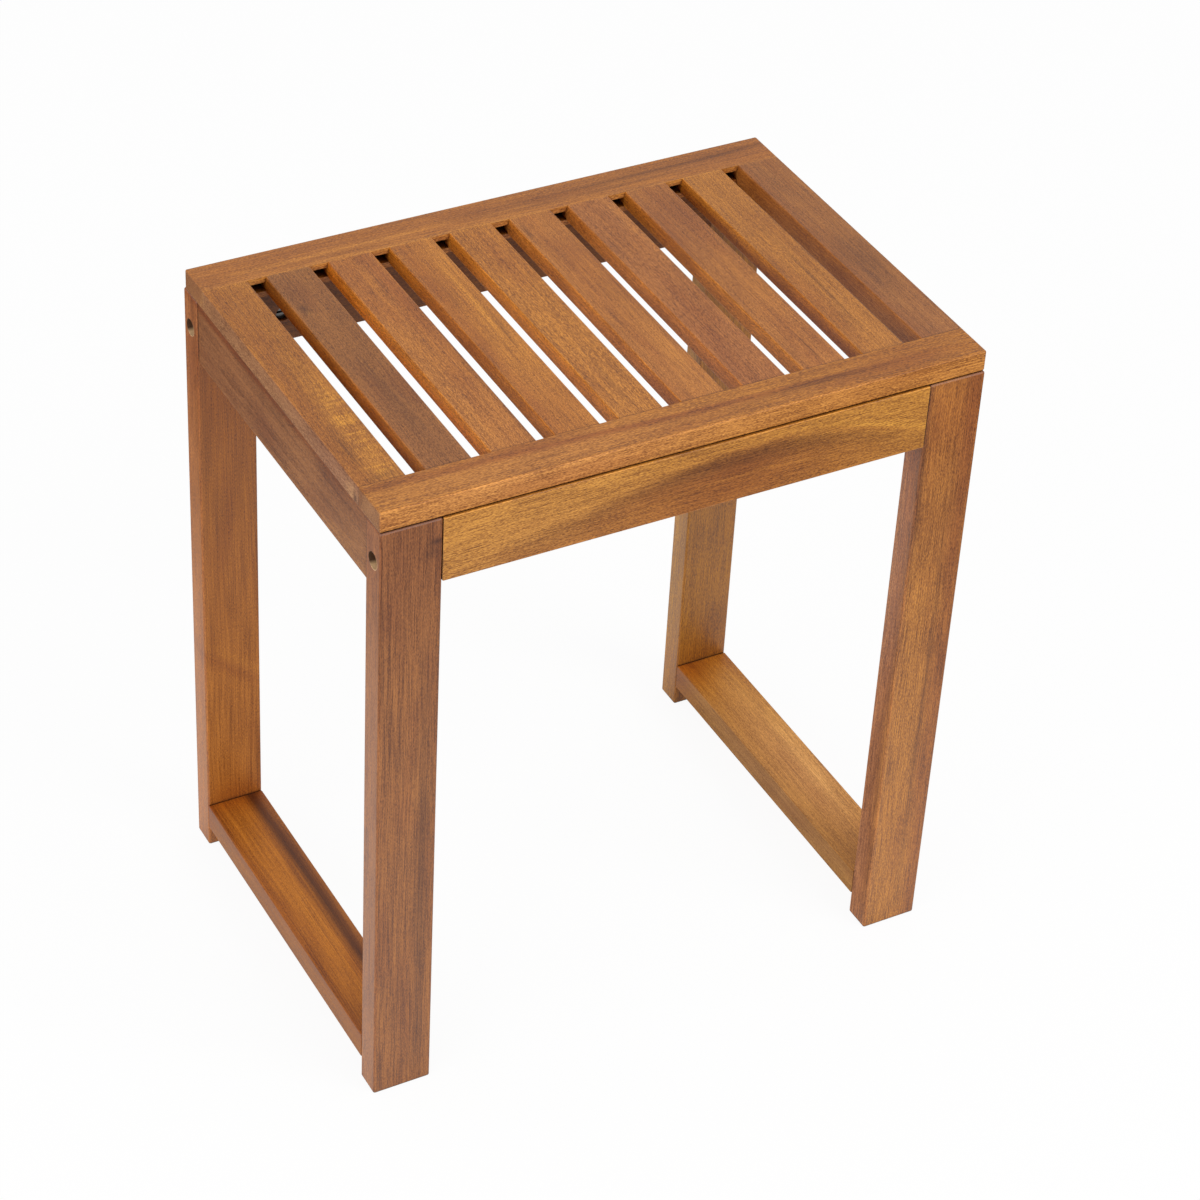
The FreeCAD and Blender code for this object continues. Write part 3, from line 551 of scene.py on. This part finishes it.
# The stool mirrors a painted pool of light on the floor round it, with a painted shadow right under it
POOL_RADIUS = 0.42
POOL_EDGE = 0.68
POOL_REST_SHARE = 0.05
UNDER_SHADOW_SHARE = 0.8
UNDER_SHADOW_X = (0.23, 0.16)
UNDER_SHADOW_Y = (0.17, 0.10)
# Lamps and surroundings
KEY = {"place": (1.3, -2.2, 2.2), "size": 1.8, "power": 40}
FILL = {"place": (-2.4, -0.9, 1.0), "size": 2.2, "power": 36}
AMBIENT = 0.7


def add_lamp(name, place, size, power):
    """A square soft lamp aimed at the stool's middle."""
    data = bpy.data.lights.new(name, "AREA")
    data.size = size
    data.energy = power
    lamp = bpy.data.objects.new(name, data)
    lamp.location = place
    lamp.rotation_mode = "QUATERNION"
    lamp.rotation_quaternion = (CAMERA_AIM - Vector(place)).to_track_quat("-Z", "Y")
    bpy.context.scene.collection.objects.link(lamp)


def make_floor():
    """A white floor with a faint shadow. In the stool's reflections it is a painted pool of light with a
    painted shadow under the stool, and it is clear from below.
    """
    mesh = bpy.data.meshes.new("floor")
    edge = FLOOR_SIZE / 2
    corners = [(-edge, -edge, 0), (edge, -edge, 0), (edge, edge, 0), (-edge, edge, 0)]
    mesh.from_pydata(corners, [], [range(len(corners))])
    floor = bpy.data.objects.new("floor", mesh)
    bpy.context.scene.collection.objects.link(floor)
    tree = Tree("white_floor")
    path = tree.add("LightPath").outputs
    here = tree.add("TexCoord").outputs["Object"]
    reach = tree.measure("LENGTH", here)
    # Painted pool of light round the stool, seen only in its reflections
    painted_light_pool = tree.add("MapRange", {"Value": reach, "From Min": POOL_RADIUS, "From Max": POOL_EDGE,
                                 "To Min": 1.0, "To Max": POOL_REST_SHARE}).outputs[0]
    spot = tree.add("SeparateXYZ", {0: tree.vector("ABSOLUTE", here)}).outputs
    # Painted shadow right under the stool, seen only in its reflections
    painted_shadow_under = tree.math("MULTIPLY", tree.step(spot[0], *UNDER_SHADOW_X), tree.step(spot[1], *UNDER_SHADOW_Y))
    painted_light_pool = tree.math("MULTIPLY", painted_light_pool, tree.math("MULTIPLY_ADD", painted_shadow_under, -UNDER_SHADOW_SHARE, 1))
    unmirrored = tree.math("SUBTRACT", 1, path["Is Glossy Ray"])
    glow = tree.add("Emission", {"Color": WHITE, "Strength": tree.math("MAXIMUM", painted_light_pool, unmirrored)})
    seen = tree.math("MAXIMUM", path["Is Camera Ray"], path["Is Glossy Ray"])
    seen = tree.math("MAXIMUM", seen, path["Is Transmission Ray"])
    matt = tree.add("BsdfDiffuse", {"Color": FLOOR_COLOUR})
    share = tree.math("MULTIPLY_ADD", seen, FLOOR_GLOW_SHARE - FLOOR_LIFT_SHARE, FLOOR_LIFT_SHARE)
    floor_shader = tree.add("MixShader", {0: share, 1: matt.outputs[0], 2: glow.outputs[0]})
    clear = tree.add("BsdfTransparent")
    from_below = tree.math("MULTIPLY", tree.add("NewGeometry").outputs["Backfacing"], path["Is Camera Ray"])
    shader = tree.add("MixShader", {0: from_below, 1: floor_shader.outputs[0], 2: clear.outputs[0]})
    mesh.materials.append(tree.finished(shader))


def make_world():
    """Soft white surroundings, seen as plain white."""
    world = bpy.data.worlds.new("studio")
    world.use_nodes = True
    bpy.context.scene.world = world
    links = world.node_tree.links
    add = world.node_tree.nodes.new
    background = world.node_tree.nodes["Background"]
    path = add("ShaderNodeLightPath").outputs
    strength = add("ShaderNodeMapRange")
    strength.inputs["To Min"].default_value = AMBIENT
    strength.inputs["To Max"].default_value = 1.0
    seen = path["Is Camera Ray"]
    for ray in ("Is Glossy Ray", "Is Transmission Ray"):
        either = add("ShaderNodeMath")
        either.operation = "MAXIMUM"
        links.new(seen, either.inputs[0])
        links.new(path[ray], either.inputs[1])
        seen = either.outputs[0]
    links.new(seen, strength.inputs["Value"])
    links.new(strength.outputs[0], background.inputs["Strength"])
    background.inputs["Color"].default_value = WHITE


make_camera()
add_lamp("key", **KEY)
add_lamp("fill", **FILL)
make_floor()
make_world()
bpy.context.scene.view_settings.view_transform = "Standard"
